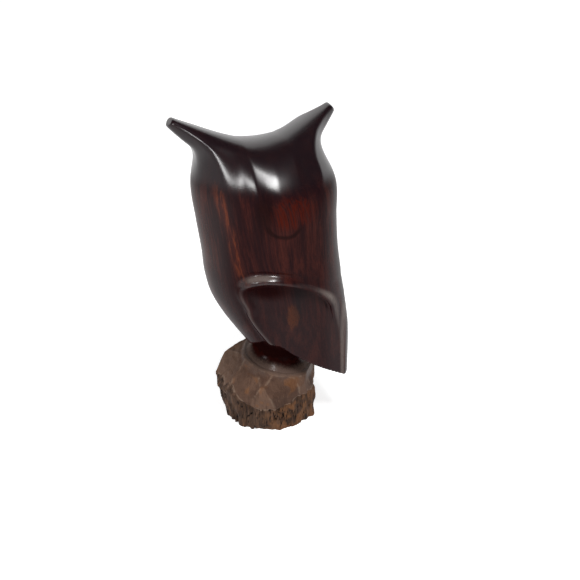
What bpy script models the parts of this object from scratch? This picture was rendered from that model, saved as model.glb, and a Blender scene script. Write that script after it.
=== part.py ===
"""Horned owl statuette: one carved and polished owl, a rough-hewn block under it, and the dowel that
joins them. Metres, +Z up. The owl's breast faces -Y, its tail +Y, its left wing +X; the head is turned
towards -X. The origin is the middle of the block's underside."""

import math

import bmesh
import bpy
import numpy as np
import openvdb
from mathutils import Matrix, Vector

for old in list(bpy.data.objects):
    bpy.data.objects.remove(old)

MM = 0.001

# ---- overall sizes, in millimetres
GIRTH = 1.0                   # share of the drawn body width and breast depth
SEAT_Z = 37.0                 # where the polished foot meets the rough block, on the neck's axis
SEAT_FALL = 0.25              # the seat slopes down towards the tail by this much per millimetre
FIT_GAP = 0.3                 # clearance between touching pieces

# ---- the owl's body, drawn as sections at these heights
LEVELS = (20, 32, 42, 50, 58, 66, 75, 85, 96, 110, 128, 146, 162, 178, 200)
BREAST = (-8, -7, -3, 2, 8.5, 16, 23.5, 29.5, 32.5, 34.0, 37.0, 39.5, 37.6, 34, 31)
BACK = (51, 52.6, 52.9, 52.6, 52, 51.2, 49.8, 47.8, 45.8, 43.5, 42.2, 42.0, 37.6, 32, 28)
FLANK = (22, 24, 25.5, 27, 29, 31.7, 34.6, 37.0, 38.4, 38.6, 37.6, 36.0, 33.6, 30, 28)
BACK_TAPER = (0.66, 0.66, 0.62, 0.56, 0.5, 0.44, 0.36, 0.28, 0.2, 0.1, 0, 0, 0, 0, 0)
AXIS_Y = 10.0
TAIL_FLAT_Y = 51.4            # the flat chisel cut down the back of the tail

# ---- head
HEAD_TURN = math.radians(56.0)
HEAD_AT = (1.0, 0.5)
CROWN_Z = 172.3               # lowest point of the saddle between the ears
SADDLE_SLOPE = 0.465
SADDLE_FLAT = 12.5
SADDLE_ROLL = 55.0            # radius of the saddle towards the face
NAPE_ACROSS = (0, 8, 14, 22, 30, 40, 54)
NAPE_CURL = (0.0195, 0.0235, 0.031, 0.048, 0.076, 0.112, 0.15)  # how sharply it rolls to the nape
NAPE_BLEND = 5.0              # half the width over which the two sides' curls meet
NAPE_RIGHT = 0.25             # share of that curl on the owl's right, where the neck is turned
EAR_LEAN = 0.46               # how far the ears lean towards the face
EAR_TIP = (45.8, 184.2)       # across and up
EAR_RISE = (140, 152, 162, 169, 174, 179, 184, 192)
EAR_EDGE = (30, 31.0, 32.8, 37.0, 42.6, 47.8, 51.4, 56)
EAR_ACROSS = (0, 8, 20, 28, 36, 42, 47, 52)
EAR_WIDTH = (31, 30, 25.0, 16.5, 9.6, 6.2, 4.7, 4.2)

# ---- wings and the cut under the tail
WING_APEX = (15.5, 104.4)     # towards the tail and up
WING_HALF = 24.0
WING_FRONT_TUCK = 6.5         # how far the wing's front edge steps back below its shoulder
WING_CAP = 23.0
WING_RAKE = 0.30
RIM_RAISE = 3.0
RECESS = 3.2
SCOOP_EDGE = -4.2             # where the scoop under the rim is deepest
HEM_ALONG = (-20, 0, 8, 16, 24, 32, 42, 52)
HEM_LEVEL = (54, 57.5, 62, 59, 50.5, 43, 36.0, 31.5)

# ---- neck foot, block and dowel
NECK_AT = (0.0, 9.0)
NECK_R = 12.2
FOOT_FLARE = 6.6              # how much wider the foot is at its shoulder
FLARE_RISE = 13.0
FOOT_SHOULDER = 1.2           # the shoulder's height above the seat
DOWEL_R = 5.0
DOWEL_DEPTH = 25.0            # how far the dowel reaches below the seat
DOWEL_LENGTH = 40.0
DOWEL_CHAMFER = 1.0
FLUTES = 10
BLOCK_SPAN = 1.0              # share of the drawn block width
BLOCK_MIDDLE_Y = 2.0
# sides split off the block: direction round the block (degrees from +X to +Y), outward lean of the
# face (degrees), distance from the middle at half height
SPLITS = (
    (-72, -18, 29.0), (-38, -9, 27.4), (-12, -4, 27.6), (14, -9, 28.4), (40, -5, 28.6), (64, -4, 29.0),
    (88, 6, 29.0), (112, -2, 29.0), (140, 3, 28.5), (168, -4, 28.0), (196, 5, 28.5), (222, -2, 29.0),
    (250, 4, 29.5), (270, -16, 30.5),
)
SPLIT_LEVEL = 15.0
# chisel facets on top: direction (degrees), fall (degrees), distance from the middle at FACET_LEVEL
FACETS = (
    (-75, 26, 40.5), (-75, 63, 30.8), (-52, 58, 25.5), (-26, 62, 24.5), (4, 48, 28.0), (4, 76, 27.6),
    (32, 64, 25.2), (62, 58, 26.0), (92, 40, 26.0), (122, 50, 26.5), (152, 58, 26.0), (180, 62, 25.5),
    (210, 54, 27.0), (238, 50, 30.0),
)
FACET_LEVEL = SEAT_Z - 7.0    # the chiselled facets go up and down with the seat
BLOCK_TOP = SEAT_Z + 12.0     # the billet's height before the seat is sawn


def smin(a, b, k):
    """the lesser of two distances, with a fillet about k wide"""
    h = np.maximum(k - np.abs(a - b), 0) / k
    return np.minimum(a, b) - h * h * k / 4


def smax(a, b, k):
    return -smin(-a, -b, k)


def ease(a, b, x):
    t = np.clip((x - a) / (b - a), 0, 1)
    return t * t * (3 - 2 * t)


def bump(x, centre, half):
    t = np.clip(np.abs(x - centre) / half, 0, 1)
    return (1 - t * t) ** 2


def through(x, at, values):
    """a smooth curve through the drawn values"""
    at, values = np.asarray(at, float), np.asarray(values, float)
    slope = np.gradient(values, at)
    x = np.clip(x, at[0], at[-1])
    i = np.clip(np.searchsorted(at, x) - 1, 0, len(at) - 2)
    step = at[i + 1] - at[i]
    t = (x - at[i]) / step
    return (
        (2 * t**3 - 3 * t**2 + 1) * values[i] + (t**3 - 2 * t**2 + t) * step * slope[i]
        + (3 * t**2 - 2 * t**3) * values[i + 1] + (t**3 - t**2) * step * slope[i + 1]
    )


def head_axes(x, y):
    """across the head (owl's left negative) and towards the face"""
    c, s = math.cos(HEAD_TURN), math.sin(HEAD_TURN)
    dx, dy = x - HEAD_AT[0], y - HEAD_AT[1]
    return -dx * c + dy * s, -dx * s - dy * c


def body(x, y, z):
    breast, back = through(z, LEVELS, BREAST) * GIRTH, through(z, LEVELS, BACK)
    flank, taper = through(z, LEVELS, FLANK) * GIRTH, through(z, LEVELS, BACK_TAPER)
    away = y - AXIS_Y
    reach = np.where(away < 0, breast + AXIS_Y, back - AXIS_Y)
    wide = flank * (1 - taper * ease(-0.2, 1.0, away / reach))
    power = 2.2
    q = ((np.abs(x) / wide) ** power + (np.abs(away) / reach) ** power + 1e-9) ** (1 / power)
    r = np.sqrt(x * x + away * away)
    return (r - r / q) * 0.97


def wing_relief(x, y, z):
    """the folded wing: a raised rim over a scooped panel, the same on both sides"""
    middle = WING_APEX[0] + WING_RAKE * (WING_APEX[1] - z)
    low = np.maximum(WING_APEX[1] - WING_CAP - z, 0)
    front = WING_FRONT_TUCK * ease(100, 84, z) * ease(8, -4, y - middle)
    half = WING_HALF - 0.16 * low - front
    up = np.maximum(z - (WING_APEX[1] - WING_CAP), 0) / WING_CAP
    g = ((np.abs(y - middle) / half) ** 2.05 + up**2.05) ** (1 / 2.05)
    g = (g - 1) * half
    high = ease(56, 98, z)
    ahead = ease(2, -8, y - middle) * ease(78, 88, z) * ease(103, 97, z)
    rear = ease(9, 19, y - middle)
    rim = (0.6 + 0.4 * high) * (1 - 0.75 * ahead) * (1 - 0.55 * rear) * RIM_RAISE
    rim = rim * bump(g, 0.4 - 1.4 * rear, 2.7 + 0.9 * high - 0.8 * rear)
    groove = (0.55 + 0.25 * high) * (1 - 0.7 * ahead) * (1 - 0.6 * rear) * bump(g, 4.7, 2.2)
    scoop = (0.06 + 0.94 * high) * RECESS * ease(-0.9, SCOOP_EDGE, g) * (1 - 0.8 * ease(-4, -17, g))
    return (rim - groove - scoop) * ease(2.0, 9.0, np.abs(x))


def face_relief(u, v, z):
    """brow ridges running from the ears to the beak over two dished eyes"""
    au = np.abs(u)
    brow_at = 139.0 + 0.86 * au
    brow = 1.6 * bump((z - brow_at) * 0.76, 1.0, 5.0) * ease(40, 30, au)
    dish = 2.6 * (1 - ease(4.0, 13.0, np.hypot(au - 14.5, z - 142.0))) * ease(3, -3, z - brow_at)
    eye = 2.3 * (1 - ease(2.0, 6.6, np.hypot(au - 14.0, z - 143.0)))
    beak = 4.2 * bump(u, 0, 5.5) * bump(z, 134.0, 10.0) * ease(126, 132, z)
    return (brow - dish + eye + beak) * ease(4.0, 16.0, v)


def hem(x, y, z, inside):
    """the under-cut: below it only the neck goes on down to the block"""
    return (through(y, HEM_ALONG, HEM_LEVEL) + 0.35 * np.clip(inside, 0, 14) - z) * 0.85


def seat(y):
    """height of the slanting seat between foot and block"""
    return SEAT_Z - SEAT_FALL * (y - NECK_AT[1])


def owl(x, y, z):
    """signed distance to the owl's surface, in millimetres, negative in the wood"""
    u, v = head_axes(x, y)
    au = np.abs(u)
    d = smax(body(x, y, z), z - (CROWN_Z + 3.5), 30.0)
    lean = EAR_LEAN * np.maximum(au - 12, 0)
    edge = (au - through(z, EAR_RISE, EAR_EDGE)) * 0.83
    wide = (np.abs(v - lean) - through(au, EAR_ACROSS, EAR_WIDTH)) * 0.8
    ear = smax(smax(edge, wide, 7.0 - 3.5 * ease(30, 42, au)), 146 - z, 10.0)
    d = smin(d, ear, 8.0)
    slope = SADDLE_SLOPE * u
    top = CROWN_Z + np.sqrt(SADDLE_FLAT**2 + slope**2) - SADDLE_FLAT
    back = np.clip(lean - v, -40, 48)
    aside = np.sqrt(u * u + NAPE_BLEND**2) - NAPE_BLEND
    curl = through(aside, NAPE_ACROSS, NAPE_CURL)
    curl = np.where(u > 0, NAPE_CURL[0] + NAPE_RIGHT * (curl - NAPE_CURL[0]), curl)
    curl = np.where(back > 0, curl, 1 / SADDLE_ROLL)
    steep = 1 + 0.25 * ease(0, 30, au) + (curl * np.maximum(back, 0)) ** 2
    saddle = (z - top + curl * back**2 / 2) / np.sqrt(steep)
    d = smax(d, saddle, 14 - 12 * ease(17, 31, au))
    tip = (au - EAR_TIP[0]) * 0.8 + (z - EAR_TIP[1]) * 0.6
    d = smax(d, tip, 0.8)
    d = d - wing_relief(x, y, z) - face_relief(u, v, z)
    d = smax(d, y - TAIL_FLAT_Y, 0.8)
    d = smax(d, hem(x, y, z, -d), 1.0)
    above = z - seat(y) - FOOT_SHOULDER
    low = np.clip(1 - above / FLARE_RISE, 0, 1)
    r = np.hypot(x - NECK_AT[0], y - NECK_AT[1])
    slope = 2.6 * FOOT_FLARE / FLARE_RISE * low**1.6
    neck = (r - NECK_R - FOOT_FLARE * low**2.6 + 0.55 * np.minimum(above, 0)) / np.sqrt(1 + slope**2)
    neck = smax(neck, seat(y) - 4 - z, 0.6)
    neck = smax(neck, z - 80, 1)
    return smin(d, neck, 5.0)


# ==== build
def finish(name, rgb, roughness):
    mat = bpy.data.materials.new(name)
    mat.use_nodes = True
    shader = mat.node_tree.nodes["Principled BSDF"]
    shader.inputs["Base Color"].default_value = (*rgb, 1.0)
    shader.inputs["Roughness"].default_value = roughness
    shader.inputs["Metallic"].default_value = 0.0
    return mat


def place(name, mesh, mat, parent=None, at=(0, 0, 0)):
    obj = bpy.data.objects.new(name, mesh)
    bpy.context.scene.collection.objects.link(obj)
    if mat is not None:
        mesh.materials.append(mat)
    obj.parent = parent
    obj.location = Vector(at) * MM
    return obj


def carve(name, field, low, high, step):
    """the closed surface where the field is nought, pulled exactly onto it"""
    low, high = np.array(low, float), np.array(high, float)
    sides = [np.arange(a, b + step, step) for a, b in zip(low, high)]
    grid = openvdb.FloatGrid()
    grid.copyFromArray(field(*np.meshgrid(*sides, indexing="ij")).astype(np.float32))
    points, quads = grid.convertToQuads(isovalue=0.0)
    points = np.asarray(points) * step + low
    nudge = 0.05
    for _ in range(3):
        here = field(*points.T)
        slope = np.stack([
            field(*(points + nudge * np.eye(3)[i]).T) - here for i in range(3)
        ], axis=1) / nudge
        move = here / ((slope**2).sum(axis=1) + 1e-6)
        points = points - np.clip(move, -0.4 * step, 0.4 * step)[:, None] * slope
    mesh = bpy.data.meshes.new(name)
    mesh.from_pydata((points * MM).tolist(), [], np.asarray(quads)[:, ::-1].tolist())
    return mesh


def saw_flat(mesh, level):
    """saws the underside off along the slanting seat, this high on the neck's axis"""
    bm = bmesh.new()
    bm.from_mesh(mesh)
    geom = bm.verts[:] + bm.edges[:] + bm.faces[:]
    cut = bmesh.ops.bisect_plane(
        bm, geom=geom, dist=1e-6, plane_co=(0, NECK_AT[1] * MM, level * MM),
        plane_no=(0, -SEAT_FALL, -1), clear_outer=True
    )
    rim = [e for e in cut["geom_cut"] if isinstance(e, bmesh.types.BMEdge)]
    bmesh.ops.contextual_create(bm, geom=rim)
    bmesh.ops.triangulate(bm, faces=[f for f in bm.faces if len(f.verts) > 4])
    bmesh.ops.recalc_face_normals(bm, faces=bm.faces[:])
    bm.to_mesh(mesh)
    bm.free()
    mesh.shade_smooth()


def rod(bm, radius, bottom, top, segments=32):
    made = bmesh.ops.create_cone(
        bm, cap_ends=True, segments=segments, radius1=radius * MM, radius2=radius * MM,
        depth=(top - bottom) * MM, matrix=Matrix.Translation((0, 0, (top + bottom) / 2 * MM)),
    )
    return made["verts"]


def bore(name, parent, bottom, top):
    bm = bmesh.new()
    rod(bm, DOWEL_R + FIT_GAP, bottom, top)
    mesh = bpy.data.meshes.new(name)
    bm.to_mesh(mesh)
    bm.free()
    cutter = place(name, mesh, None, parent, (*NECK_AT, 0))
    cutter.hide_render = True
    cutter.display_type = "WIRE"
    return cutter


def cut_with(obj, cutter):
    step = obj.modifiers.new("bore", "BOOLEAN")
    step.operation = "DIFFERENCE"
    step.solver = "EXACT"
    step.object = cutter


# the frame everything hangs from, in the middle of the block's underside
frame = bpy.data.objects.new("figurine_frame", None)
bpy.context.scene.collection.objects.link(frame)

# ---- the owl: one piece of dark close-grained hardwood, sanded and polished all over, with a blind
# hole for the dowel in the middle of its foot
owl_mesh = carve("owl_figure", owl, (-56, -56, 20), (56, 60, 200), 1.6)
saw_flat(owl_mesh, SEAT_Z + FIT_GAP)
owl_piece = place(
    "owl_figure", owl_mesh, finish("polished_dark_wood", (0.055, 0.022, 0.018), 0.22), frame
)
thin = owl_piece.modifiers.new("fewer_faces", "DECIMATE")
thin.ratio = 0.15
thin.use_collapse_triangulate = True
cut_with(owl_piece, bore("owl_bore", frame, SEAT_Z - 8, SEAT_Z - DOWEL_DEPTH + DOWEL_LENGTH + FIT_GAP))

# ---- the block: split and chiselled from the same log, left rough, flat underneath and where the
# foot stands, with a blind socket for the dowel
bm = bmesh.new()
bmesh.ops.create_cube(
    bm, size=1, matrix=Matrix.Translation((0, BLOCK_MIDDLE_Y * MM, BLOCK_TOP / 2 * MM))
    @ Matrix.Diagonal((120 * MM, 120 * MM, BLOCK_TOP * MM, 1)),
)


def split(bm, at, outward):
    geom = bm.verts[:] + bm.edges[:] + bm.faces[:]
    cut = bmesh.ops.bisect_plane(
        bm, geom=geom, dist=1e-7, plane_co=Vector(at) * MM, plane_no=outward, clear_outer=True
    )
    edges = [e for e in cut["geom_cut"] if isinstance(e, bmesh.types.BMEdge)]
    if edges:
        bmesh.ops.contextual_create(bm, geom=edges)


split(bm, (0, NECK_AT[1], SEAT_Z), Vector((0, SEAT_FALL, 1)).normalized())
for turn, lean, reach in SPLITS:
    a, t = math.radians(turn), math.radians(lean)
    out = Vector((math.cos(a) * math.cos(t), math.sin(a) * math.cos(t), math.sin(t)))
    reach = reach * BLOCK_SPAN
    split(bm, (math.cos(a) * reach, math.sin(a) * reach + BLOCK_MIDDLE_Y, SPLIT_LEVEL), out)
for turn, fall, start in FACETS:
    a, t = math.radians(turn), math.radians(fall)
    start = start * BLOCK_SPAN
    out = Vector((math.cos(a) * math.sin(t), math.sin(a) * math.sin(t), math.cos(t)))
    split(bm, (math.cos(a) * start, math.sin(a) * start + NECK_AT[1] * 0.6, FACET_LEVEL), out)
bmesh.ops.remove_doubles(bm, verts=bm.verts[:], dist=0.00005)
bmesh.ops.triangulate(bm, faces=bm.faces[:])
for longest in (12.0, 8.0, 6.0):
    longs = [e for e in bm.edges if e.calc_length() > longest * MM]
    bmesh.ops.subdivide_edges(bm, edges=longs, cuts=1)
    bmesh.ops.triangulate(bm, faces=bm.faces[:])
bm.normal_update()
moves = []
for vert in bm.verts:
    z = vert.co.z / MM
    if 0.2 < z < seat(vert.co.y / MM) - 0.2:
        wave = math.sin(vert.co.x / MM * 0.61 + z * 0.23) * math.sin(vert.co.y / MM * 0.53 - z * 0.31)
        moves.append((vert, vert.normal * (0.45 * wave - 0.2) * MM))
for vert, move in moves:
    vert.co += Vector((move.x, move.y, 0))
bmesh.ops.recalc_face_normals(bm, faces=bm.faces[:])
mesh = bpy.data.meshes.new("base_block")
bm.to_mesh(mesh)
bm.free()
block = place("base_block", mesh, finish("rough_brown_wood", (0.115, 0.066, 0.045), 0.85), frame)
cut_with(block, bore("block_bore", frame, SEAT_Z - DOWEL_DEPTH - FIT_GAP, SEAT_Z + 8))

# ---- the dowel: a fluted beech pin, glued half in the block and half in the owl's foot
bm = bmesh.new()
rings = (
    (0, DOWEL_CHAMFER), (DOWEL_CHAMFER, 0),
    (DOWEL_LENGTH - DOWEL_CHAMFER, 0), (DOWEL_LENGTH, DOWEL_CHAMFER),
)
loops = []
for z, inset in rings:
    loop = []
    for i in range(FLUTES * 4):
        a = math.tau * i / (FLUTES * 4)
        r = DOWEL_R - inset - (0.35 if i % 4 == 0 else 0.0)
        loop.append(bm.verts.new((r * math.cos(a) * MM, r * math.sin(a) * MM, z * MM)))
    loops.append(loop)
for low, high in zip(loops, loops[1:]):
    for i in range(len(low)):
        j = (i + 1) % len(low)
        bm.faces.new((low[i], low[j], high[j], high[i]))
bm.faces.new(loops[0][::-1])
bm.faces.new(loops[-1])
bmesh.ops.recalc_face_normals(bm, faces=bm.faces[:])
mesh = bpy.data.meshes.new("mounting_dowel")
bm.to_mesh(mesh)
bm.free()
place("mounting_dowel", mesh, finish("pale_beech", (0.5, 0.34, 0.2), 0.6), frame,
      (*NECK_AT, SEAT_Z - DOWEL_DEPTH))
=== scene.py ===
"""Looks for the carved owl: a polished dark-wood owl with its head turned, on a rough-hewn block.
Sizes are in millimetres in the shape functions and in metres everywhere in the scene."""

import math

import bmesh
import bpy
import numpy as np
import openvdb
from mathutils import Matrix, Vector


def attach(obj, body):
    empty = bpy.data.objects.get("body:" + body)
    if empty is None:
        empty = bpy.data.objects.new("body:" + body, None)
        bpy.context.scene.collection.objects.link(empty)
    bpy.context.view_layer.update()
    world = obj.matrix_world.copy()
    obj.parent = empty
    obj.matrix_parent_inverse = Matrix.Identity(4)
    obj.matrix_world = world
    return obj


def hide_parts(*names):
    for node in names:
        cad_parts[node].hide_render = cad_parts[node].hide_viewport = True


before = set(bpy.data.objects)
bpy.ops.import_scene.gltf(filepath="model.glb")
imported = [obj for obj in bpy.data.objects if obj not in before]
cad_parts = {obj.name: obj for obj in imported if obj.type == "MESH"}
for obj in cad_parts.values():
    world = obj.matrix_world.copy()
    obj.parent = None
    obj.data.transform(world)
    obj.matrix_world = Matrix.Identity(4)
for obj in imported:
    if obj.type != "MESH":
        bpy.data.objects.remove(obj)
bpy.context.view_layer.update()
scene = bpy.context.scene
MM = 0.001

# ---- camera
VIEW_TURN, VIEW_TILT = math.radians(105.0), math.radians(26.0)
VIEW_DISTANCE = 0.62
FRAME_WIDTH = 0.3364          # width of the picture at the object's distance

toward = Vector((math.sin(VIEW_TURN) * math.cos(VIEW_TILT), -math.cos(VIEW_TURN) * math.cos(VIEW_TILT),
                 math.sin(VIEW_TILT)))
across = Vector((math.cos(VIEW_TURN), math.sin(VIEW_TURN), 0))
upward = toward.cross(across)
aim = Vector((0, 0, 0.095)) + across * 0.01624 - upward * 0.01334
lens = bpy.data.cameras.new("camera")
lens.sensor_width = 36
lens.lens = 36 * VIEW_DISTANCE / FRAME_WIDTH
lens.clip_start = 0.01
camera = bpy.data.objects.new("camera", lens)
camera.location = aim + toward * VIEW_DISTANCE
camera.rotation_euler = toward.to_track_quat("Z", "Y").to_euler()
scene.collection.objects.link(camera)
scene.camera = camera


# ---- node helpers, used by the floor and by every material
class Sock:
    """A shader value that can be added, multiplied and compared like a number."""

    def __init__(self, tree, out):
        self.tree, self.out = tree, out

    def node(self, kind, settings=(), values=(), out=0):
        made = self.tree.nodes.new(kind)
        for key, value in dict(settings).items():
            setattr(made, key, value)
        for key, value in dict(values).items():
            if isinstance(value, Sock):
                self.tree.links.new(value.out, made.inputs[key])
            else:
                made.inputs[key].default_value = value
        return Sock(self.tree, made.outputs[out])

    def math(self, how, *others, clamp=False):
        return self.node("ShaderNodeMath", dict(operation=how, use_clamp=clamp),
                         dict(enumerate((self, *others))))

    def __add__(self, other):
        return self.math("ADD", other)

    def __sub__(self, other):
        return self.math("SUBTRACT", other)

    def __mul__(self, other):
        return self.math("MULTIPLY", other)

    def __truediv__(self, other):
        return self.math("DIVIDE", other)

    def __rsub__(self, other):
        return self.math("MULTIPLY", -1.0).math("ADD", other)

    __radd__ = __add__
    __rmul__ = __mul__

    def power(self, other):
        return self.math("POWER", other)

    def abs(self):
        return self.math("ABSOLUTE")

    def most(self, other):
        return self.math("MAXIMUM", other)

    def least(self, other):
        return self.math("MINIMUM", other)

    def steps(self, low, high, to_low=0.0, to_high=1.0):
        """eases from to_low to to_high as this goes from low to high"""
        return self.node("ShaderNodeMapRange", dict(interpolation_type="SMOOTHSTEP"),
                         {"Value": self, "From Min": low, "From Max": high,
                          "To Min": to_low, "To Max": to_high})

    def mix(self, low, high):
        """the colour low where this is 0 and high where it is 1"""
        return self.node("ShaderNodeMix", dict(data_type="RGBA"),
                         {"Factor": self, "A": low, "B": high}, out="Result")

    def scaled(self, factors):
        return self.node("ShaderNodeVectorMath", dict(operation="MULTIPLY"), {0: self, 1: factors})

    def moved(self, amounts):
        return self.node("ShaderNodeVectorMath", dict(operation="ADD"), {0: self, 1: amounts})

    def noise(self, scale, detail=2.0, roughness=0.5, distortion=0.0):
        return self.node("ShaderNodeTexNoise", dict(noise_dimensions="3D"),
                         {"Vector": self, "Scale": scale, "Detail": detail, "Roughness": roughness,
                          "Distortion": distortion})

    def axes(self):
        made = self.tree.nodes.new("ShaderNodeSeparateXYZ")
        self.tree.links.new(self.out, made.inputs[0])
        return [Sock(self.tree, made.outputs[i]) for i in range(3)]


def new_material(name):
    """a material, its Principled shader and the object's coordinates in millimetres"""
    mat = bpy.data.materials.new(name)
    mat.use_nodes = True
    tree = mat.node_tree
    shader = tree.nodes["Principled BSDF"]
    where = Sock(tree, tree.nodes.new("ShaderNodeTexCoord").outputs["Object"])
    return mat, shader, where.scaled((1000.0, 1000.0, 1000.0))


def feed(shader, **values):
    for key, value in values.items():
        socket = shader.inputs[key.replace("_", " ")]
        if isinstance(value, Sock):
            value.tree.links.new(value.out, socket)
        else:
            socket.default_value = value


def relief(height, distance, strength=1.0):
    return height.node("ShaderNodeBump", (), {"Height": height, "Distance": distance,
                                              "Strength": strength})


# ---- floor: a plain white sweep that rises behind the object
FLOOR_REACH, SWEEP_RADIUS, WALL_TOP = 2.6, 0.9, 2.2
bm = bmesh.new()
profile = [(-3.0, 0.0), (FLOOR_REACH - SWEEP_RADIUS, 0.0)]
for i in range(1, 17):
    a = math.pi / 2 * i / 16
    profile.append((FLOOR_REACH - SWEEP_RADIUS + SWEEP_RADIUS * math.sin(a),
                    SWEEP_RADIUS * (1 - math.cos(a))))
profile.append((FLOOR_REACH, WALL_TOP))
away = Vector((-toward.x, -toward.y, 0)).normalized()
rows = [[bm.verts.new(away * d + across * side + Vector((0, 0, h))) for side in (-4.0, 4.0)]
        for d, h in profile]
for near, far in zip(rows, rows[1:]):
    bm.faces.new((near[1], far[1], far[0], near[0]))
bmesh.ops.recalc_face_normals(bm, faces=bm.faces[:])
mesh = bpy.data.meshes.new("floor")
bm.to_mesh(mesh)
bm.free()
mesh.shade_smooth()
floor = bpy.data.objects.new("floor", mesh)
scene.collection.objects.link(floor)
mat, shader, where = new_material("white_sweep")
feed(shader, Base_Color=(0.66, 0.66, 0.66, 1), Roughness=0.9, Specular_IOR_Level=0.0,
     Emission_Color=(1, 1, 1, 1), Emission_Strength=0.76)
mesh.materials.append(mat)

# ---- light: two soft boxes over the owl's back, and a dim room with a pale band round its horizon
# that is brighter still on its far and left sides
scene.view_settings.view_transform = "Standard"


def softbox(name, direction, along, distance, long, wide, power):
    """an area lamp seen in this direction, its long side lying roughly this way"""
    face = Vector(direction).normalized()
    long_way = (Vector(along) - face * face.dot(Vector(along))).normalized()
    data = bpy.data.lights.new(name, "AREA")
    data.shape, data.size, data.size_y, data.energy = "RECTANGLE", wide, long, power
    lamp = bpy.data.objects.new(name, data)
    turn = Matrix((long_way.cross(face), long_way, face)).transposed()
    lamp.matrix_world = Matrix.Translation(Vector((0, 0, 0.12)) + face * distance) @ turn.to_4x4()
    scene.collection.objects.link(lamp)


softbox("key_box", (0.41, 0.29, 0.86), (-0.92, 0.0, 0.39), 0.95, 0.36, 0.09, 8.8)
softbox("fill_box", (0.76, -0.40, 0.53), (0.46, 0.89, 0.0), 0.95, 0.16, 0.12, 2.8)

room = bpy.data.worlds.new("room")
scene.world = room
room.use_nodes = True
tree = room.node_tree
facing = Sock(tree, tree.nodes.new("ShaderNodeTexCoord").outputs["Generated"])
far_side = facing.node("ShaderNodeVectorMath", dict(operation="DOT_PRODUCT"),
                       {0: facing, 1: tuple(away)}, out="Value")
left_side = facing.node("ShaderNodeVectorMath", dict(operation="DOT_PRODUCT"),
                        {0: facing, 1: tuple(-across)}, out="Value")
overhead = facing.axes()[2]
horizon = overhead.steps(0.42, 0.24)
glow = (0.75 + horizon * 14.0 + far_side.steps(0.2, 0.9) * overhead.steps(0.75, 0.3) * 1.6
        + left_side.steps(0.1, 0.9) * overhead.steps(0.95, 0.4) * 2.4)
tree.links.new(glow.out, tree.nodes["Background"].inputs["Strength"])

# ---- the owl
# The whole owl, ears, wings and foot included, is one carving in a dark, oily, close-grained hardwood,
# sanded fine and burnished to a deep gloss. It stands on the block and is glued over a hidden dowel.
GIRTH, SEAT_Z, SEAT_FALL = 1.0, 37.0, 0.25
# ---- the owl's body, drawn as sections at these heights
LEVELS = (20, 32, 42, 50, 58, 66, 75, 85, 96, 110, 128, 146, 162, 178, 200)
BREAST = (-8, -7, -3, 2, 8.5, 16, 23.5, 29.5, 32.5, 34.0, 37.0, 39.5, 37.6, 34, 31)
BACK = (51, 52.6, 52.9, 52.6, 52, 51.2, 49.8, 47.8, 45.8, 43.5, 42.2, 42.0, 37.6, 32, 28)
FLANK = (22, 24, 25.5, 27, 29, 31.7, 34.6, 37.0, 38.4, 38.6, 37.6, 36.0, 33.6, 30, 28)
BACK_TAPER = (0.66, 0.66, 0.62, 0.56, 0.5, 0.44, 0.36, 0.28, 0.2, 0.1, 0, 0, 0, 0, 0)
AXIS_Y = 10.0
TAIL_FLAT_Y = 51.4            # the flat chisel cut down the back of the tail

# ---- head
HEAD_TURN = math.radians(56.0)
HEAD_AT = (1.0, 0.5)
CROWN_Z = 172.3               # lowest point of the saddle between the ears
SADDLE_SLOPE = 0.465
SADDLE_FLAT = 12.5
SADDLE_ROLL = 55.0            # radius of the saddle towards the face
NAPE_ACROSS = (0, 8, 14, 22, 30, 40, 54)
NAPE_CURL = (0.0195, 0.0235, 0.031, 0.048, 0.076, 0.112, 0.15)  # how sharply it rolls to the nape
NAPE_BLEND = 5.0              # half the width over which the two sides' curls meet
NAPE_RIGHT = 0.25             # share of that curl on the owl's right, where the neck is turned
EAR_LEAN = 0.46               # how far the ears lean towards the face
EAR_TIP = (45.8, 184.2)       # across and up
EAR_RISE = (140, 152, 162, 169, 174, 179, 184, 192)
EAR_EDGE = (30, 31.0, 32.8, 37.0, 42.6, 47.8, 51.4, 56)
EAR_ACROSS = (0, 8, 20, 28, 36, 42, 47, 52)
EAR_WIDTH = (31, 30, 25.0, 16.5, 9.6, 6.2, 4.7, 4.2)

# ---- wings and the cut under the tail
WING_APEX = (15.5, 104.4)     # towards the tail and up
WING_HALF = 24.0
WING_FRONT_TUCK = 6.5         # how far the wing's front edge steps back below its shoulder
WING_CAP = 23.0
WING_RAKE = 0.30
RIM_RAISE = 3.0
RECESS = 3.2
SCOOP_EDGE = -4.2             # where the scoop under the rim is deepest
HEM_ALONG = (-20, 0, 8, 16, 24, 32, 42, 52)
HEM_LEVEL = (54, 57.5, 62, 59, 50.5, 43, 36.0, 31.5)

# ---- neck foot, block and dowel
NECK_AT = (0.0, 9.0)
NECK_R = 12.2
FOOT_FLARE = 6.6              # how much wider the foot is at its shoulder
FLARE_RISE = 13.0
FOOT_SHOULDER = 1.2           # the shoulder's height above the seat


def smin(a, b, k):
    """the lesser of two distances, with a fillet about k wide"""
    h = np.maximum(k - np.abs(a - b), 0) / k
    return np.minimum(a, b) - h * h * k / 4


def smax(a, b, k):
    return -smin(-a, -b, k)


def ease(a, b, x):
    t = np.clip((x - a) / (b - a), 0, 1)
    return t * t * (3 - 2 * t)


def bump(x, centre, half):
    t = np.clip(np.abs(x - centre) / half, 0, 1)
    return (1 - t * t) ** 2


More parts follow.
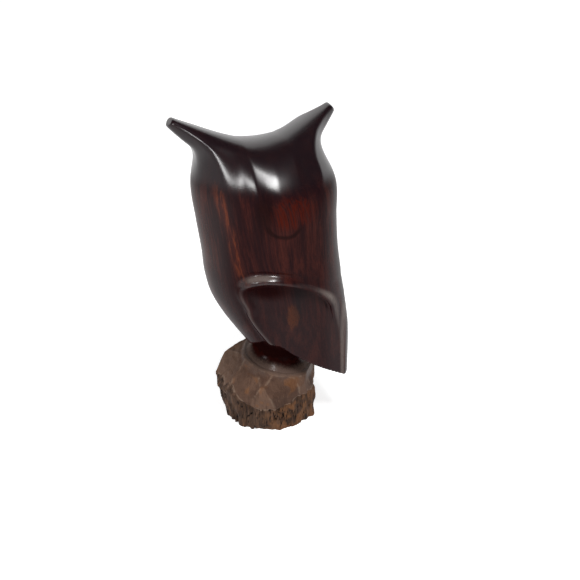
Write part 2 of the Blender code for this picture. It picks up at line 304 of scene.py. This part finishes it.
def through(x, at, values):
    """a smooth curve through the drawn values"""
    at, values = np.asarray(at, float), np.asarray(values, float)
    slope = np.gradient(values, at)
    x = np.clip(x, at[0], at[-1])
    i = np.clip(np.searchsorted(at, x) - 1, 0, len(at) - 2)
    step = at[i + 1] - at[i]
    t = (x - at[i]) / step
    return (
        (2 * t**3 - 3 * t**2 + 1) * values[i] + (t**3 - 2 * t**2 + t) * step * slope[i]
        + (3 * t**2 - 2 * t**3) * values[i + 1] + (t**3 - t**2) * step * slope[i + 1]
    )


def head_axes(x, y):
    """across the head (owl's left negative) and towards the face"""
    c, s = math.cos(HEAD_TURN), math.sin(HEAD_TURN)
    dx, dy = x - HEAD_AT[0], y - HEAD_AT[1]
    return -dx * c + dy * s, -dx * s - dy * c


def body(x, y, z):
    breast, back = through(z, LEVELS, BREAST) * GIRTH, through(z, LEVELS, BACK)
    flank, taper = through(z, LEVELS, FLANK) * GIRTH, through(z, LEVELS, BACK_TAPER)
    away = y - AXIS_Y
    reach = np.where(away < 0, breast + AXIS_Y, back - AXIS_Y)
    wide = flank * (1 - taper * ease(-0.2, 1.0, away / reach))
    power = 2.2
    q = ((np.abs(x) / wide) ** power + (np.abs(away) / reach) ** power + 1e-9) ** (1 / power)
    r = np.sqrt(x * x + away * away)
    return (r - r / q) * 0.97


def wing_relief(x, y, z):
    """the folded wing: a raised rim over a scooped panel, the same on both sides"""
    middle = WING_APEX[0] + WING_RAKE * (WING_APEX[1] - z)
    low = np.maximum(WING_APEX[1] - WING_CAP - z, 0)
    front = WING_FRONT_TUCK * ease(100, 84, z) * ease(8, -4, y - middle)
    half = WING_HALF - 0.16 * low - front
    up = np.maximum(z - (WING_APEX[1] - WING_CAP), 0) / WING_CAP
    g = ((np.abs(y - middle) / half) ** 2.05 + up**2.05) ** (1 / 2.05)
    g = (g - 1) * half
    high = ease(56, 98, z)
    ahead = ease(2, -8, y - middle) * ease(78, 88, z) * ease(103, 97, z)
    rear = ease(9, 19, y - middle)
    rim = (0.6 + 0.4 * high) * (1 - 0.75 * ahead) * (1 - 0.55 * rear) * RIM_RAISE
    rim = rim * bump(g, 0.4 - 1.4 * rear, 2.7 + 0.9 * high - 0.8 * rear)
    groove = (0.55 + 0.25 * high) * (1 - 0.7 * ahead) * (1 - 0.6 * rear) * bump(g, 4.7, 2.2)
    scoop = (0.06 + 0.94 * high) * RECESS * ease(-0.9, SCOOP_EDGE, g) * (1 - 0.8 * ease(-4, -17, g))
    return (rim - groove - scoop) * ease(2.0, 9.0, np.abs(x))


def face_relief(u, v, z):
    """brow ridges running from the ears to the beak over two dished eyes"""
    au = np.abs(u)
    brow_at = 139.0 + 0.86 * au
    brow = 1.6 * bump((z - brow_at) * 0.76, 1.0, 5.0) * ease(40, 30, au)
    dish = 2.6 * (1 - ease(4.0, 13.0, np.hypot(au - 14.5, z - 142.0))) * ease(3, -3, z - brow_at)
    eye = 2.3 * (1 - ease(2.0, 6.6, np.hypot(au - 14.0, z - 143.0)))
    beak = 4.2 * bump(u, 0, 5.5) * bump(z, 134.0, 10.0) * ease(126, 132, z)
    return (brow - dish + eye + beak) * ease(4.0, 16.0, v)


def hem(x, y, z, inside):
    """the under-cut: below it only the neck goes on down to the block"""
    return (through(y, HEM_ALONG, HEM_LEVEL) + 0.35 * np.clip(inside, 0, 14) - z) * 0.85


def seat(y):
    """height of the slanting seat between foot and block"""
    return SEAT_Z - SEAT_FALL * (y - NECK_AT[1])


def owl(x, y, z):
    """signed distance to the owl's surface, in millimetres, negative in the wood"""
    u, v = head_axes(x, y)
    au = np.abs(u)
    d = smax(body(x, y, z), z - (CROWN_Z + 3.5), 30.0)
    lean = EAR_LEAN * np.maximum(au - 12, 0)
    edge = (au - through(z, EAR_RISE, EAR_EDGE)) * 0.83
    wide = (np.abs(v - lean) - through(au, EAR_ACROSS, EAR_WIDTH)) * 0.8
    ear = smax(smax(edge, wide, 7.0 - 3.5 * ease(30, 42, au)), 146 - z, 10.0)
    d = smin(d, ear, 8.0)
    slope = SADDLE_SLOPE * u
    top = CROWN_Z + np.sqrt(SADDLE_FLAT**2 + slope**2) - SADDLE_FLAT
    back = np.clip(lean - v, -40, 48)
    aside = np.sqrt(u * u + NAPE_BLEND**2) - NAPE_BLEND
    curl = through(aside, NAPE_ACROSS, NAPE_CURL)
    curl = np.where(u > 0, NAPE_CURL[0] + NAPE_RIGHT * (curl - NAPE_CURL[0]), curl)
    curl = np.where(back > 0, curl, 1 / SADDLE_ROLL)
    steep = 1 + 0.25 * ease(0, 30, au) + (curl * np.maximum(back, 0)) ** 2
    saddle = (z - top + curl * back**2 / 2) / np.sqrt(steep)
    d = smax(d, saddle, 14 - 12 * ease(17, 31, au))
    tip = (au - EAR_TIP[0]) * 0.8 + (z - EAR_TIP[1]) * 0.6
    d = smax(d, tip, 0.8)
    d = d - wing_relief(x, y, z) - face_relief(u, v, z)
    d = smax(d, y - TAIL_FLAT_Y, 0.8)
    d = smax(d, hem(x, y, z, -d), 1.0)
    above = z - seat(y) - FOOT_SHOULDER
    low = np.clip(1 - above / FLARE_RISE, 0, 1)
    r = np.hypot(x - NECK_AT[0], y - NECK_AT[1])
    slope = 2.6 * FOOT_FLARE / FLARE_RISE * low**1.6
    neck = (r - NECK_R - FOOT_FLARE * low**2.6 + 0.55 * np.minimum(above, 0)) / np.sqrt(1 + slope**2)
    neck = smax(neck, seat(y) - 4 - z, 0.6)
    neck = smax(neck, z - 80, 1)
    return smin(d, neck, 5.0)


def carve(name, field, low, high, step, slack=0.4):
    """the closed surface where the field is nought, pulled exactly onto it"""
    low, high = np.array(low, float), np.array(high, float)
    sides = [np.arange(a, b + step, step) for a, b in zip(low, high)]
    grid = openvdb.FloatGrid()
    grid.copyFromArray(field(*np.meshgrid(*sides, indexing="ij")).astype(np.float32))
    points, quads = grid.convertToQuads(isovalue=0.0)
    points = np.asarray(points) * step + low
    nudge = 0.04
    for _ in range(3):
        here = field(*points.T)
        slope = np.stack([
            field(*(points + nudge * np.eye(3)[i]).T) - here for i in range(3)
        ], axis=1) / nudge
        move = here / ((slope**2).sum(axis=1) + 1e-6)
        points = points - np.clip(move, -slack * step, slack * step)[:, None] * slope
    # open fault: wound this way the faces point inwards, and loose chips are not taken out
    mesh = bpy.data.meshes.new(name)
    mesh.from_pydata((points * MM).tolist(), [], np.asarray(quads)[:, ::-1].tolist())
    mesh.update()
    mesh.shade_smooth()
    return mesh


def owl_on_seat(x, y, z):
    return smax(owl(x, y, z), seat(y) + 0.05 - z, 0.3)


OWL_LOW, OWL_HIGH = (-56, -58, 26), (56, 60, 200)    # the box that is carved in
OWL_STEP = 0.95               # the mesh's spacing
owl_piece = bpy.data.objects.new("carved_owl", carve(
    "carved_owl", owl_on_seat, OWL_LOW, OWL_HIGH, OWL_STEP))
scene.collection.objects.link(owl_piece)

mat, shader, where = new_material("burnished_dark_wood")
x, y, z = where.axes()

# the log's grain runs up the owl and leans a little towards the tail on the way down
lean_x = x + where.scaled((0.02, 0.02, 0.012)).noise(1.0, 1.0) * 9.0
lean_y = y + z * 0.16 + where.scaled((0.025, 0.025, 0.016)).noise(1.0, 1.0) * 10.0
grain = where.node("ShaderNodeCombineXYZ", (), {0: lean_x, 1: lean_y, 2: z * 0.045})
broad = grain.noise(0.11, 2.0, 0.55)
bands = grain.noise(0.34, 3.0, 0.6)
fine = grain.noise(1.25, 2.0, 0.6)
streaks = (bands * 0.5 + broad * 0.32 + fine * 0.18).steps(0.42, 0.64)


def spot(at, reach, power=1.0):
    """1 at a place on the wood, fading to 0 at these distances along the three axes"""
    off = where.moved(tuple(-v for v in at)).scaled(tuple(1.0 / v for v in reach))
    far = off.node("ShaderNodeVectorMath", dict(operation="LENGTH"), {0: off}, out="Value")
    return far.steps(1.0, 0.0) * power


# how far a place lies outside the wing's raised rim, the rim line itself, and the hollow under it
middle = WING_APEX[0] + (WING_APEX[1] - z) * WING_RAKE
low = (WING_APEX[1] - WING_CAP - z).most(0.0)
tuck = z.steps(100, 84) * (y - middle).steps(8, -4) * WING_FRONT_TUCK
half = WING_HALF - low * 0.16 - tuck
up = (z - (WING_APEX[1] - WING_CAP)).most(0.0) / WING_CAP
outside = ((((y - middle).abs() / half).power(2.05) + up.power(2.05)).power(1 / 2.05) - 1.0) * half
flank = x.abs().steps(6.0, 14.0)
rim_top = (outside - 1.9).abs().steps(3.3, 1.5) * (y - 8.0).abs().steps(21, 10) * z.steps(98, 103) * flank
rim_crest = (outside - 0.7).abs().steps(1.7, 0.1) * flank
rim_line = rim_top.most(rim_crest * 0.55)
tail_edge = (y - TAIL_FLAT_Y + 1.6).abs().steps(1.6, 0.2) * z.steps(100, 80)

# colours: near black to wine red along the grain, a glowing heart patch and a dark crown; painted shade under
# the wing's rim and in the gap over the foot, and a pale painted highlight along the rim and the tail's back
# edge
NEAR_BLACK = (0.0140, 0.0045, 0.0052, 1)
WINE_RED = (0.048, 0.0118, 0.0088, 1)
COPPER = (0.098, 0.023, 0.010, 1)
HEART_RED = (0.047, 0.0052, 0.0022, 1)
BAND_DARK = (0.006, 0.0018, 0.0018, 1)
FLAME_RED = (0.058, 0.016, 0.0065, 1)
BLUE_BLACK = (0.007, 0.0055, 0.0065, 1)
UNDER_RIM_PAINTED_SHADE = (0.010, 0.0018, 0.0016, 1)
CROWN_DARK = (0.0070, 0.0036, 0.0052, 1)
PAINTED_HIGHLIGHT_PALE = (0.140, 0.112, 0.100, 1)
HAIRLINE_DARK = (0.008, 0.0028, 0.0032, 1)
PORE_DARK = (0.005, 0.0022, 0.0024, 1)
NECK_GAP_PAINTED_SHADE = (0.0085, 0.0017, 0.0014, 1)
NECK_RED = (0.026, 0.0034, 0.0022, 1)
RAW_WOOD = (0.095, 0.062, 0.050, 1)
warp = where.scaled((0.05, 0.05, 0.03)).noise(1.0, 2.0)
heart = (spot((33, 27, 143), (26, 20, 15)) + (warp - 0.5) * 0.5).steps(0.12, 0.6)
flame = (spot((27, 26, 80), (16, 5.5, 15)) + (bands - 0.5) * 1.1).steps(0.22, 0.7)
band_y = (y + 8.0 + (z - 132.0) * 0.34).abs()
long_streak = band_y.steps(4.6, 0.8) * z.steps(98, 112) * z.steps(160, 152) * x.steps(10, 25)
red = streaks * z.steps(96, 110, 0.45, 0.80) + long_streak * (0.25 + bands * 0.5)
red = red.math("MINIMUM", 1.0, clamp=True)
color = red.mix(NEAR_BLACK, WINE_RED)
color = (long_streak * bands.steps(0.45, 0.6)).mix(color, COPPER)
color = (heart * fine.steps(0.35, 0.65)).mix(color, HEART_RED)
dark_band = (spot((40, 13, 148), (14, 9, 24)) * 1.6).math("MINIMUM", 1.0)
arc_far = ((y - 22.6).power(2.0) + ((z - 137.0) * 1.2).power(2.0)).power(0.5)
dark_arc = (arc_far - 8.0 + (warp - 0.5) * 5.0).abs().steps(2.2, 0.3) * z.steps(138, 133) * x.steps(14, 24)
darkest = (dark_band + dark_arc * fine.steps(0.2, 0.5)).math("MINIMUM", 1.0)
color = (darkest * 0.75).mix(color, BAND_DARK)
color = (flame * 0.8).mix(color, FLAME_RED)
blue_black = spot((26, 29, 92), (14, 5.5, 26)).least(spot((26, 33, 88), (30, 12, 26)) * 2.0)
color = (blue_black * 0.6).mix(color, BLUE_BLACK)
# painted shade: the wood under the wing's rim is darkened where the rim overhangs the scooped panel
under_rim_shade = (spot((38, 15, 97), (12, 24, 8)) * 1.6).math("MINIMUM", 1.0)
color = (under_rim_shade * 0.6).mix(color, UNDER_RIM_PAINTED_SHADE)
crown = z.steps(144, 158)
color = (crown * 0.85).mix(color, CROWN_DARK)
# painted highlight: a pale tone along the wing's rim crest, over its top and down the tail's back edge,
# standing in for the light these ridges catch
rim_painted_highlight = rim_crest * z.steps(98, 88) * (y - middle).steps(-6, 12, 0.3, 1.0)
rim_top_painted_highlight = (outside - 2.6).abs().steps(1.9, 0.3) * (y - 10.0).abs().steps(12, 3) * flank * z.steps(102, 105)
rim_painted_highlight = rim_painted_highlight.most(rim_top_painted_highlight)
rim_painted_highlight = rim_painted_highlight.most(tail_edge * 0.7)
color = (rim_painted_highlight * 0.75).mix(color, PAINTED_HIGHLIGHT_PALE)
hairline = grain.noise(2.7, 1.0, 0.5).steps(0.52, 0.66)
color = (hairline * 0.38).mix(color, HAIRLINE_DARK)
pores = where.scaled((1.0, 1.0, 0.06)).noise(1.9, 1.0).steps(0.62, 0.74)
color = (pores * 0.35).mix(color, PORE_DARK)

# polish: deep on the head, the rims and the foot, thinner where the flank has been handled
flank_side = (x * 0.8 + y * 0.6).steps(16, 31) * y.steps(47, 39)
worn = flank_side * z.steps(159, 150) * (1.0 - z.steps(99, 89) * 0.42)
from_neck = (x * x + (y - NECK_AT[1]) * (y - NECK_AT[1])).power(0.5)
flank_of_neck = from_neck.steps(24.0, 20.0)
neck_gap = spot((0, 9, 50), (27, 27, 16)) * 1.5
shine = (0.45 + z.steps(150, 158) * 0.55) * (1.0 - worn * 0.80)
shine = shine.most(rim_line)
# the coat is taken off where shade is painted under the rim and in the neck gap, so no reflection lightens it
shine = shine * (1.0 - under_rim_shade * 0.9) * (1.0 - (neck_gap * 2.0).math("MINIMUM", 1.0))
specks = where.noise(1.1, 2.0, 0.7)
rough = 0.16 + specks.steps(0.45, 0.75) * 0.10 + pores * 0.10

# the polish fades out raggedly towards the rough block
above_seat = z + y * SEAT_FALL - (SEAT_Z + SEAT_FALL * NECK_AT[1])
# painted shade: the gap under the hem, above the foot, is darkened; a red streak of the wood runs low in it
in_shaded_gap = above_seat.steps(17.0, 11.0) * flank_of_neck
color = (in_shaded_gap * 0.9).mix(color, NECK_GAP_PAINTED_SHADE)
color = (in_shaded_gap * (above_seat - 5.5 + (bands - 0.5) * 8.0).abs().steps(2.0, 0.2) * 0.5).mix(
    color, NECK_RED)
raw = (above_seat + (warp - 0.5) * 4.0 + (specks - 0.5) * 3.0).steps(5.2, 1.8)
color = raw.mix(color, RAW_WOOD)
height = specks * 0.05 + pores * -0.06 + fine * 0.02 + raw * specks * 0.6
feed(shader, Base_Color=color, Roughness=rough + raw * 0.5, Metallic=0.0, Specular_IOR_Level=0.0,
     Coat_Weight=(shine * (1.0 - raw)).most(raw * specks.steps(0.4, 0.6) * 0.35),
     Coat_IOR=1.4, Coat_Roughness=0.23,
     Normal=relief(height, 0.0006, 0.5))
owl_piece.data.materials.append(mat)
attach(owl_piece, "root")
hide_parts("owl_figure")


# ---- the block
# A stub of the same log, split at the sides and chiselled on top, left rough and unpolished; sawn flat
# underneath. The owl's foot is glued on it over a hidden dowel.
BLOCK_MIDDLE_Y = 2.0
# sides split off the block: direction round the block (degrees from +X to +Y), outward lean of the
# face (degrees), distance from the middle at half height
SPLITS = (
    (-72, -18, 29.0), (-38, -9, 27.4), (-12, -4, 27.6), (14, -9, 28.4), (40, -5, 28.6), (64, -4, 29.0),
    (88, 6, 29.0), (112, -2, 29.0), (140, 3, 28.5), (168, -4, 28.0), (196, 5, 28.5), (222, -2, 29.0),
    (250, 4, 29.5), (270, -16, 30.5),
)
SPLIT_LEVEL = 15.0
# chisel facets on top: direction (degrees), fall (degrees), distance from the middle at FACET_LEVEL
FACETS = (
    (-75, 26, 40.5), (-75, 63, 30.8), (-52, 58, 25.5), (-26, 62, 24.5), (4, 48, 28.0), (4, 76, 27.6),
    (32, 64, 25.2), (62, 58, 26.0), (92, 40, 26.0), (122, 50, 26.5), (152, 58, 26.0), (180, 62, 25.5),
    (210, 54, 27.0), (238, 50, 30.0),
)
FACET_LEVEL = SEAT_Z - 7.0    # the chiselled facets go up and down with the seat
COLLAR_RISE = 1.1             # the low collar that the foot stands in
COLLAR_EDGE = (22.5, 19.4)    # it rises between these distances from the neck's axis
shuffled = np.random.default_rng(11).permutation(512)


def lattice(i, j, k):
    return shuffled[(shuffled[(shuffled[i & 511] + j) & 511] + k) & 511] / 511.0


def value_noise(x, y, z):
    """smooth random values from 0 to 1 with a period of about one unit"""
    i, j, k = (np.floor(v).astype(int) for v in (x, y, z))
    fx, fy, fz = x - i, y - j, z - k
    fx, fy, fz = (f * f * (3 - 2 * f) for f in (fx, fy, fz))
    total = 0
    for a in (0, 1):
        for b in (0, 1):
            for c in (0, 1):
                share = (fx if a else 1 - fx) * (fy if b else 1 - fy) * (fz if c else 1 - fz)
                total = total + share * lattice(i + a, j + b, k + c)
    return total


def block_shape(x, y, z):
    """signed distance to the rough block, how far a place is below the chiselled rim, the number of
    its facet (0 is the seat), how deep in a cleft it lies and how near the edge between two facets"""
    ragged = value_noise(x * 0.42 + 9, y * 0.42, z * 0.07)
    fibres = value_noise(x * 1.3, y * 1.3 + 5, z * 0.16)
    lumps = value_noise(x * 0.16, y * 0.16, z * 0.2 + 3)
    sides = np.full(np.shape(x), -1e3)
    for turn, lean, reach in SPLITS:
        a, t = math.radians(turn), math.radians(lean)
        d = (x * math.cos(a) + (y - BLOCK_MIDDLE_Y) * math.sin(a) - reach) * math.cos(t)
        sides = np.maximum(sides, d + (z - SPLIT_LEVEL) * math.sin(t))
    rim = 15.5 + 9 * ease(2, -12, y) + 4.5 * ease(12, 28, y) + 5 * (lumps - 0.5) + 2.4 * (ragged - 0.5)
    torn = ease(rim + 0.9, rim - 0.9, z)
    splinters = np.abs(value_noise(x * 0.55, y * 0.55 + 7, z * 0.05) - 0.5)
    cleft = ease(0.05, 0.0, splinters) * ease(0.45, 0.65, lumps + 0.2 * ragged)
    sides = sides + torn * (1.7 * ragged + 0.5 * fibres + 1.8 * lumps + 1.8 * cleft - 1.4)
    sides = sides + (1 - torn) * 0.4 * lumps
    top = (z - seat(y)) * 0.97
    second = np.full(np.shape(x), -1e3)
    facet = np.zeros(np.shape(x))
    for number, (turn, fall, start) in enumerate(FACETS):
        a, t = math.radians(turn), math.radians(fall)
        d = (x * math.cos(a) + (y - NECK_AT[1] * 0.6) * math.sin(a) - start) * math.sin(t)
        d = d + (z - FACET_LEVEL) * math.cos(t)
        facet = np.where(d > top, number + 1, facet)
        second = np.maximum(second, np.minimum(top, d))
        top = np.maximum(top, d)
    arris = ease(0.55, 0.0, top - second)
    tool = value_noise(x * 0.22 + 4, y * 0.22, z * 0.3)
    from_neck = np.hypot(x, y - NECK_AT[1])
    top = top + ease(21.0, 24.0, from_neck) * (0.9 * tool + 0.3 * fibres - 0.7)
    top = top - COLLAR_RISE * ease(*COLLAR_EDGE, from_neck)
    return smax(smax(sides, top, 0.4), -z, 0.4), rim - z, facet, cleft * torn, arris * (1 - torn)


def block(x, y, z):
    return block_shape(x, y, z)[0]


BLOCK_LOW, BLOCK_HIGH = (-36, -40, -3), (36, 40, 44)
BLOCK_STEP = 0.5
block_piece = bpy.data.objects.new("rough_block", carve(
    "rough_block", block, BLOCK_LOW, BLOCK_HIGH, BLOCK_STEP))
scene.collection.objects.link(block_piece)
corners = np.empty(len(block_piece.data.vertices) * 3)
block_piece.data.vertices.foreach_get("co", corners)
_, below_rim, facet, cleft, arris = block_shape(*(corners.reshape(-1, 3) / MM).T)
tones = np.random.default_rng(4).uniform(0.0, 1.0, len(FACETS) + 1)
kept = {"below_rim": below_rim, "tone": tones[facet.astype(int)], "cleft": cleft, "arris": arris}
for name, values in kept.items():
    layer = block_piece.data.attributes.new(name, "FLOAT", "POINT")
    layer.data.foreach_set("value", values.astype(np.float32))

DULL_BROWN = (0.058, 0.030, 0.020, 1)
WARM_BROWN = (0.098, 0.054, 0.036, 1)
FACET_DARK = (0.040, 0.021, 0.015, 1)
FACET_PALE = (0.150, 0.090, 0.062, 1)
GRAIN_DARK = (0.050, 0.026, 0.018, 1)
HAIR_PALE = (0.150, 0.085, 0.052, 1)
OCHRE_STAIN = (0.165, 0.066, 0.022, 1)
BREAST_SIDE_PAINTED_LIGHT = (0.165, 0.100, 0.070, 1)
TAIL_SIDE_PAINTED_SHADE = (0.060, 0.030, 0.020, 1)
WALL_PAINTED_SHADE = (0.022, 0.013, 0.0095, 1)
SPLINTER_PALE = (0.110, 0.055, 0.026, 1)
WALL_WARM = (0.170, 0.072, 0.028, 1)
PALE_EDGE_AND_HIGHLIGHT = (0.24, 0.17, 0.125, 1)
CRACK_BLACK = (0.008, 0.005, 0.004, 1)
mat, shader, where = new_material("rough_sawn_wood")


def painted(name):
    """a value kept at each corner of the mesh"""
    return where.node("ShaderNodeAttribute", dict(attribute_name=name), out="Fac")


x, y, z = where.axes()
fibre = where.scaled((1.0, 1.0, 0.13))
coarse = fibre.noise(0.42, 3.0, 0.6)
hairs = fibre.noise(2.0, 3.0, 0.65)
patches = where.noise(0.09, 3.0, 0.6)
bulk = patches.steps(0.38, 0.62).mix(DULL_BROWN, WARM_BROWN)
bulk = painted("tone").steps(0.0, 0.5, 0.45, 0.0).mix(bulk, FACET_DARK)
bulk = painted("tone").steps(0.5, 1.0, 0.0, 0.7).mix(bulk, FACET_PALE)
bulk = (coarse.steps(0.50, 0.66) * 0.5).mix(bulk, GRAIN_DARK)
bulk = (hairs.steps(0.56, 0.74) * 0.5).mix(bulk, HAIR_PALE)
ochre = where.noise(0.11, 2.0).steps(0.54, 0.66)
bulk = (ochre * 0.45).mix(bulk, OCHRE_STAIN)
# painted light: the block is paler on the breast side, the side the light falls on
bulk = (y.steps(0, -26) * 0.6).mix(bulk, BREAST_SIDE_PAINTED_LIGHT)
# painted shade: the block is darker on the tail side, which is turned away from the light
bulk = (y.steps(18, 30) * 0.45).mix(bulk, TAIL_SIDE_PAINTED_SHADE)
# the split walls below the chiselled rim are darkened in patches with painted shade, with black cracks along
# the fibres and paler splinters; the rim itself is a thin pale edge
below = painted("below_rim")
wall = below.steps(0.2, 1.8)
color = (wall * coarse.steps(0.66, 0.48) * 0.8).mix(bulk, WALL_PAINTED_SHADE)
color = (wall * hairs.steps(0.50, 0.62) * 0.45).mix(color, SPLINTER_PALE)
color = (wall * y.steps(4, 18) * patches.steps(0.40, 0.55) * 0.55).mix(color, WALL_WARM)
# a thin pale edge along the rim, and a painted highlight along the arrises where two facets meet
edge = (below - 0.3).abs().steps(1.0, 0.1) * where.noise(0.30, 2.0).steps(0.42, 0.56)
edge = edge.most(painted("arris") * where.noise(0.24, 2.0).steps(0.42, 0.58) * 0.8)
color = (edge * 0.45).mix(color, PALE_EDGE_AND_HIGHLIGHT)
cracks = fibre.noise(0.75, 2.0, 0.55, 0.4).steps(0.60, 0.66) * (0.12 + wall * 0.88)
cracks = cracks.most(painted("cleft") * 0.9)
color = cracks.mix(color, CRACK_BLACK)
# a little polish has been rubbed on round the owl's foot
reach = (x * x + (y - NECK_AT[1]) * (y - NECK_AT[1])).power(0.5)
rubbed = (reach + (patches - 0.5) * 9.0).steps(23.5, 19.5) * (z + y * SEAT_FALL).steps(33, 37)
color = (rubbed * 0.7).mix(color, RAW_WOOD)
feed(shader, Base_Color=color, Roughness=0.62 + coarse * 0.3 - rubbed * 0.3, Metallic=0.0,
     Specular_IOR_Level=0.1,
     Normal=relief(hairs * 0.6 + coarse * 0.6 - cracks * 0.8, 0.0008, 0.9))
block_piece.data.materials.append(mat)
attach(block_piece, "root")
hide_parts("base_block")


# ---- the dowel
# A fluted beech pin, glued half in the block and half in the owl's foot; it never shows.
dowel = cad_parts["mounting_dowel"]
mat, shader, where = new_material("beech_pin")
rays = where.scaled((1.0, 1.0, 0.1)).noise(1.6, 3.0, 0.6)
color = rays.steps(0.4, 0.65).mix((0.56, 0.38, 0.22, 1), (0.40, 0.25, 0.13, 1))
feed(shader, Base_Color=color, Roughness=0.5 + rays * 0.2, Metallic=0.0,
     Normal=relief(rays, 0.0003, 0.5))
for slot in dowel.material_slots:
    slot.material = mat
